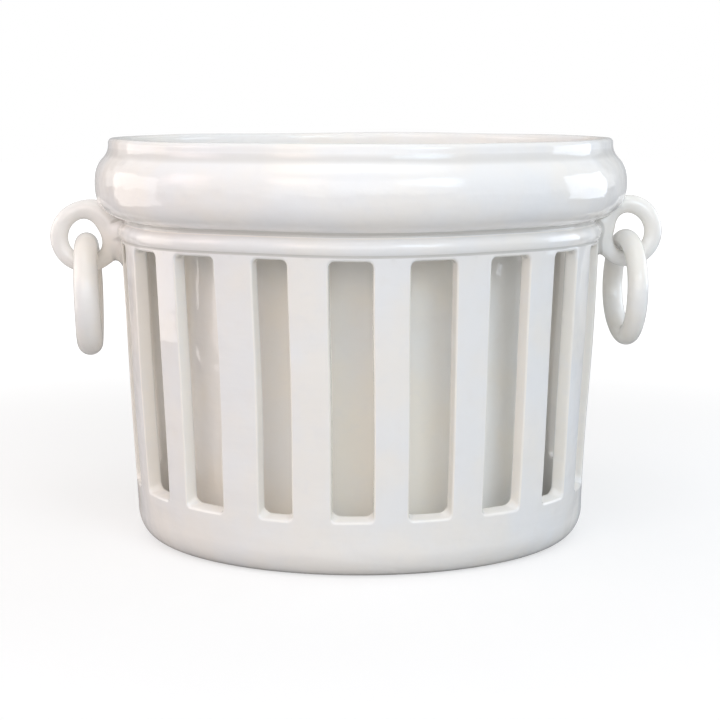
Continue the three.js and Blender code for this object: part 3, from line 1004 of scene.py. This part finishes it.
class EarForm:
    """Distance field of one ear, pressed to the bead and the bulge, made at +X."""

    grain = 0.25
    radii = np.arange(112, 190, grain)
    levels = np.arange(130, 212, grain)

    def __init__(self, side, form):
        self.side = side
        self.fillet = getattr(form, f"{side}_root_fillet") / MM
        self.seam = form.bulge_seam / MM
        self.centre = EAR_CENTRE_RADIUS[side]
        self.level = EAR_LEVEL[side]
        collar = collar_outline(form, 40)
        last, groove = glaze_fillet(collar, form.groove_fillet / MM, 8)
        core_radius, core_level = 90, 60
        lintel = lintel_outline(core_level, form.bead_fillet / MM, 6)
        bead = arc(*BEAD_CENTRE, BEAD_RADIUS, bead_angle(lintel[-1]), bead_angle(groove[0]), 12)
        outline = np.vstack([lintel, bead, groove, collar[last + 1:],
                             [(LIP_RADIUS, HEIGHT), (core_radius, HEIGHT),
                              (core_radius, core_level)]])
        self.vessel = profile_field(outline, self.radii, self.levels)

    def wall(self, points):
        """Distance to the vessel's outside."""
        radius = np.hypot(points[:, 0], points[:, 1])
        a = np.clip((radius - self.radii[0]) / self.grain, 0, len(self.radii) - 1.001)
        b = np.clip((points[:, 2] - self.levels[0]) / self.grain, 0, len(self.levels) - 1.001)
        i, j = a.astype(int), b.astype(int)
        u, v = a - i, b - j
        f = self.vessel
        return ((1 - u) * (1 - v) * f[i, j] + u * (1 - v) * f[i + 1, j]
                + (1 - u) * v * f[i, j + 1] + u * v * f[i + 1, j + 1])

    def ear(self, points):
        """Distance to the loop and its root."""
        x = points[:, 0] - self.centre
        y = points[:, 1]
        z = points[:, 2] - self.level
        turn = np.arctan2(z, x)
        to_pot = np.maximum(-np.cos(turn + EAR_HOLE_TURN[self.side]), 0) ** 2
        swell = EAR_SWELL[self.side] * to_pot
        middle = EAR_RADIUS - EAR_HOLE_DRAW[self.side] * to_pot + swell
        tube = EAR_TUBE_RADIUS + EAR_TUBE_SWAY * np.cos(turn - EAR_TUBE_SWAY_TURN) + swell
        loop = np.hypot(np.hypot(x, z) - middle, y) - tube
        root_centre = BEAD_CREST_RADIUS - BEAD_HEIGHT / 2
        size = np.array([EAR_ROOT_REACH[self.side], EAR_ROOT_WIDTH[self.side] / 2,
                         EAR_ROOT_HEIGHT[self.side] / 2])
        place = np.column_stack([points[:, 0] - root_centre, y, z])
        near = np.linalg.norm(place / size, axis=1)
        slope = np.maximum(np.linalg.norm(place / size ** 2, axis=1), 1e-6)
        root = near * (near - 1) / slope
        return smooth_join(loop, root, EAR_ROOT_BLEND)

    def whole(self, points):
        """The ear with its fillet on the wall, cut off a little under the wall's surface."""
        ear = self.ear(points)
        wall = self.wall(points)
        over_seat, fade = 4, 8
        below = smooth((COLLAR_SEAT + over_seat - points[:, 2]) / fade)
        fillet = self.seam + (self.fillet - self.seam) * below
        shrink, sunk, beyond = 0.03, 1.5, 0.4
        skin = smooth_join(ear, wall, fillet) + shrink
        return np.maximum(np.maximum(skin, -(wall + sunk)), ear - fillet - beyond)


def smooth_join(a, b, reach):
    """Union of two distances with a fillet of about that reach."""
    mix = np.clip(0.5 + 0.5 * (b - a) / reach, 0, 1)
    return b + (a - b) * mix - reach * mix * (1 - mix)


def settle(points, field, rounds):
    """Moves points onto the zero level of a field, along its slope."""
    small = 0.05
    longest = 0.3
    for _ in range(rounds):
        value = field(points)
        slope = np.column_stack([
            field(points + step) - field(points - step)
            for step in np.eye(3) * small]) / (2 * small)
        size = np.maximum((slope ** 2).sum(1), 0.05)
        move = -(value / size)[:, None] * slope
        length = np.maximum(np.linalg.norm(move, axis=1), 1e-9)[:, None]
        points = points + move * np.minimum(1, longest / length)
    return points


class PLANTER_OT_ears(bpy.types.Operator):
    """Two ears: a loop of clay on a broad root smoothed onto the wall"""

    bl_idname = "planter.ears"
    bl_label = "Ears"

    def execute(self, context):
        colour = tuple(glaze(context).ring_colour)
        step = 0.6
        low, high = np.array([(118.0, -22.0, 140.0), (184.0, 22.0, 205.0)])
        count = np.ceil((high - low) / step).astype(int)
        axes = [low[a] + step * np.arange(count[a]) for a in range(3)]
        grid = np.stack(np.meshgrid(*axes, indexing="ij"), axis=3).reshape(-1, 3)
        for side, sign in SIDES.items():
            form = EarForm(side, clay(context))
            field = form.whole(grid).reshape(count)
            points, quads = surface_net(field, low, step)
            points = settle(points, form.whole, 4)
            points[:, :2] *= sign
            material = glaze_material(f"ear_glaze_{side}", colour, context, seed=30.0 + sign)
            piece(f"ear_{side}_skin", points, quads, material, "planter", context,
                  [f"ear_{side}"])
        return {"FINISHED"}


def ring_points(side, sign, around, tube_sides):
    """A ring rolled by hand: even at its top, where it lies in the ear, and freer below."""
    u = np.linspace(0, 2 * math.pi, around, endpoint=False)[:, None]
    v = np.linspace(0, 2 * math.pi, tube_sides, endpoint=False)[None, :]
    below = (1 - np.sin(u)) / 2
    phase = 1.3 + sign
    tube = RING_TUBE_RADIUS[side] + below ** 0.6 * RING_GROWTH[side]
    tube *= 1 + below * (0.015 * np.sin(2 * u + phase) + 0.010 * np.sin(5 * u - phase))
    reach = RING_RADIUS[side]
    reach = reach + below * (0.25 * np.sin(2 * u - phase) + 0.15 * np.sin(3 * u + phase))
    lean = 0.3 * np.sin(2 * u + 2 * phase) - sign * RING_LEAN[side]
    across = (reach + tube * np.cos(v)) * np.cos(u)
    up = (reach + tube * np.cos(v)) * np.sin(u)
    out = tube * np.sin(v) + below * lean
    turn = math.radians(RING_TURN[side])
    centre_level = span(f"ring_{side}", 2)[1] - RING_RADIUS[side] - RING_TUBE_RADIUS[side]
    return np.column_stack([
        (sign * EAR_CENTRE_RADIUS[side] + out * math.cos(turn) - across * math.sin(turn)).ravel(),
        (out * math.sin(turn) + across * math.cos(turn)).ravel(),
        up.ravel() + centre_level])


class PLANTER_OT_rings(bpy.types.Operator):
    """Two loose rings, rolled by hand, hanging in the ears"""

    bl_idname = "planter.rings"
    bl_label = "Rings"

    def execute(self, context):
        around, tube_sides = 192, 56
        colour = tuple(glaze(context).ring_colour)
        quads = grid_quads(around, tube_sides, True, closed=True)
        for side, sign in SIDES.items():
            points = ring_points(side, sign, around, tube_sides)
            material = glaze_material(f"ring_glaze_{side}", colour, context,
                                      seed=40.0 + sign, warm=0.01)
            piece(f"ring_{side}_skin", points, quads, material, f"{side}_ring", context,
                  [f"ring_{side}"], swell=False)
        return {"FINISHED"}


class PLANTER_OT_stage(bpy.types.Operator):
    """Pale floor, soft studio light and the camera"""

    bl_idname = "planter.stage"
    bl_label = "Studio"

    def execute(self, context):
        look = studio(context)
        self.floor(context, look)
        self.room(context, look)
        self.lamps(context, look)
        self.card(context, look)
        lens = bpy.data.cameras.new("camera")
        lens.lens = look.focal_length
        lens.sensor_width = 36
        camera = linked(context, "camera", lens)
        camera.location = (0, -look.camera_distance, look.camera_height)
        camera.rotation_euler = (math.pi / 2 - look.camera_pitch, 0, 0)
        context.scene.camera = camera
        context.scene.view_settings.view_transform = "Standard"
        return {"FINISHED"}

    def floor(self, context, look):
        """Pale paper that the camera sees fade to white away from the planter."""
        mesh = bpy.data.meshes.new("floor")
        half = 6.0
        mesh.from_pydata([(-half, -half, 0), (half, -half, 0), (half, half, 0), (-half, half, 0)],
                         [], [(0, 1, 2, 3)])
        material, made = new_material("studio_floor")
        place = made.place()
        cloud = made.noise(place, 3.0, 2.0)
        colour = tuple(look.floor_colour)
        tone = made.mix(made.scaled(cloud, 0.3, 0.7), colour, shade(colour, 0.99))
        seen = made.add("ShaderNodeLightPath").outputs["Is Camera Ray"]
        thrown_back = shade(colour, 1.15)
        tone = made.mix(seen, thrown_back, tone)
        paper = made.add("ShaderNodeBsdfDiffuse", {"Color": tone})
        away = made.add("ShaderNodeVectorMath", {0: place}, operation="LENGTH").outputs["Value"]
        near, far, white_near = 0.2, 1.3, 0.57
        paper_white = made.scaled(away, near, far, white_near, 1.0)
        glow = made.add("ShaderNodeEmission", {
            "Color": (1, 1, 1, 1), "Strength": made.maths("MULTIPLY", seen, paper_white)})
        both = made.add("ShaderNodeAddShader", {0: paper.outputs[0], 1: glow.outputs[0]})
        made.add("ShaderNodeOutputMaterial", {"Surface": both.outputs[0]})
        mesh.materials.append(material)
        linked(context, "floor", mesh)

    def seen_ray(self, made):
        """1 on rays that show the background: from the camera, in gloss and through glass."""
        path = made.add("ShaderNodeLightPath").outputs
        both = made.maths("MAXIMUM", path["Is Camera Ray"], path["Is Glossy Ray"])
        return made.maths("MAXIMUM", both, path["Is Transmission Ray"])

    def room(self, context, look):
        """Even light from all round, and a white background."""
        world = bpy.data.worlds.new("studio_room")
        context.scene.world = world
        world.use_nodes = True
        made = Nodes(world.node_tree)
        strength = made.scaled(self.seen_ray(made), 0.0, 1.0, look.room_light, 1.0)
        sky = made.add("ShaderNodeBackground", {"Color": (1, 1, 1, 1), "Strength": strength})
        made.add("ShaderNodeOutputWorld", {"Surface": sky.outputs[0]})

    def card(self, context, look):
        """Grey card behind the planter, seen only in the gloss of its outer edges."""
        half_turn, columns = 48, 17
        turns = np.radians(np.linspace(-half_turn, half_turn, columns))
        low, high, away, fade_from = 0.0, 1.1, 1.3, 0.5
        points = [(away * math.sin(t), away * math.cos(t), z) for z in (low, high) for t in turns]
        faces = [(i, i + 1, columns + i + 1, columns + i) for i in range(columns - 1)]
        mesh = bpy.data.meshes.new("gloss_card")
        mesh.from_pydata(points, [], faces)
        material, made = new_material("grey_card")
        height = made.add("ShaderNodeSeparateXYZ", {"Vector": made.place()}).outputs["Z"]
        fade = made.scaled(height, fade_from, high, look.card_tone, 1.0)
        glow = made.add("ShaderNodeEmission", {"Color": (1, 1, 1, 1), "Strength": fade})
        made.add("ShaderNodeOutputMaterial", {"Surface": glow.outputs[0]})
        mesh.materials.append(material)
        card = linked(context, "gloss_card", mesh)
        card.visible_camera = False
        card.visible_diffuse = False
        card.visible_shadow = False
        card.visible_transmission = False

    def soft_edges(self, lamp_data):
        """Lets a lamp fade towards its edges, with the same light in all."""
        lamp_data.use_nodes = True
        made = Nodes(lamp_data.node_tree)
        spot = made.add("ShaderNodeNewGeometry").outputs["Parametric"]
        rest = made.add("ShaderNodeVectorMath", {0: (1.0, 1.0, 1.0), 1: spot}, operation="SUBTRACT")
        both = made.add("ShaderNodeVectorMath", {0: rest.outputs[0], 1: spot}, operation="MULTIPLY")
        parts = made.add("ShaderNodeSeparateXYZ", {"Vector": both.outputs[0]})
        fade = made.maths("MULTIPLY", parts.outputs["X"], parts.outputs["Y"])
        mean = 1 / 36
        glow = made.add("ShaderNodeEmission", {"Strength": made.maths("DIVIDE", fade, mean)})
        made.add("ShaderNodeOutputLight", {"Surface": glow.outputs[0]})

    def lamps(self, context, look):
        """Two low windows that the gloss mirrors, and wide soft lights in front and above."""
        aimed_at = np.array([0, 0, 0.14])
        lamps = (
            ("window_left", (-0.547, 0.089, 0.185), (0.29, 0.31), 0.46, (1.0, 0.93, 0.89)),
            ("window_right", (0.547, 0.089, 0.235), (0.29, 0.27), 0.66, (0.80, 0.87, 1.0)),
            ("room_left", (-1.5, -0.3, 0.75), (0.9, 0.9), 2.9, (1.0, 0.78, 0.80)),
            ("wall_left", (-0.75, -1.35, 0.9), (0.8, 0.8), 2.2, (1.0, 0.72, 0.64)),
            ("wall_right", (0.75, -1.35, 0.9), (0.8, 0.8), 4.8, (0.64, 0.82, 1.0)),
            ("front", (0.0, -1.75, 0.62), (3.2, 1.3), 9.2, (0.985, 0.975, 0.98)),
            ("overhead", (0.0, -0.5, 1.5), (1.6, 1.0), 4.1, (0.99, 1.0, 0.96)),
        )
        for name, place, size, power, colour in lamps:
            data = bpy.data.lights.new(name, "AREA")
            data.shape = "RECTANGLE"
            data.size, data.size_y = size
            data.energy = power * look.lamp_power
            data.color = colour
            if name not in ("window_left", "window_right"):
                self.soft_edges(data)
            lamp = linked(context, name, data)
            lamp.visible_camera = False
            lamp.location = place
            aim = aimed_at - np.array(place)
            level = math.hypot(aim[0], aim[1])
            lamp.rotation_euler = (math.atan2(level, -aim[2]), 0,
                                   math.atan2(aim[1], aim[0]) - math.pi / 2)


OPERATORS = (
    PLANTER_OT_collar,
    PLANTER_OT_wall,
    PLANTER_OT_inner_pot,
    PLANTER_OT_ears,
    PLANTER_OT_rings,
    PLANTER_OT_stage,
)


class PLANTER_PT_panel(bpy.types.Panel):
    """Lists the planter's operators, sizes and colours"""

    bl_idname = "PLANTER_PT_panel"
    bl_label = "Openwork planter"
    bl_space_type = "VIEW_3D"
    bl_region_type = "UI"
    bl_category = "Planter"

    def draw(self, context):
        for operator in OPERATORS:
            self.layout.operator(operator.bl_idname)
        for group in (clay(context), glaze(context), studio(context)):
            box = self.layout.box()
            for name in group.bl_rna.properties.keys():
                if name not in {"rna_type", "name"}:
                    box.prop(group, name)


CLASSES = (PlanterClay, PlanterGlaze, PlanterStudio, *OPERATORS, PLANTER_PT_panel)


def register():
    for cls in CLASSES:
        bpy.utils.register_class(cls)
    bpy.types.Scene.planter_clay = bpy.props.PointerProperty(type=PlanterClay)
    bpy.types.Scene.planter_glaze = bpy.props.PointerProperty(type=PlanterGlaze)
    bpy.types.Scene.planter_studio = bpy.props.PointerProperty(type=PlanterStudio)


def unregister():
    del bpy.types.Scene.planter_studio
    del bpy.types.Scene.planter_glaze
    del bpy.types.Scene.planter_clay
    for cls in reversed(CLASSES):
        bpy.utils.unregister_class(cls)


def main():
    register()
    bpy.ops.planter.collar()
    bpy.ops.planter.wall()
    bpy.ops.planter.inner_pot()
    bpy.ops.planter.ears()
    bpy.ops.planter.rings()
    bpy.ops.planter.stage()


if __name__ == "__main__":
    main()
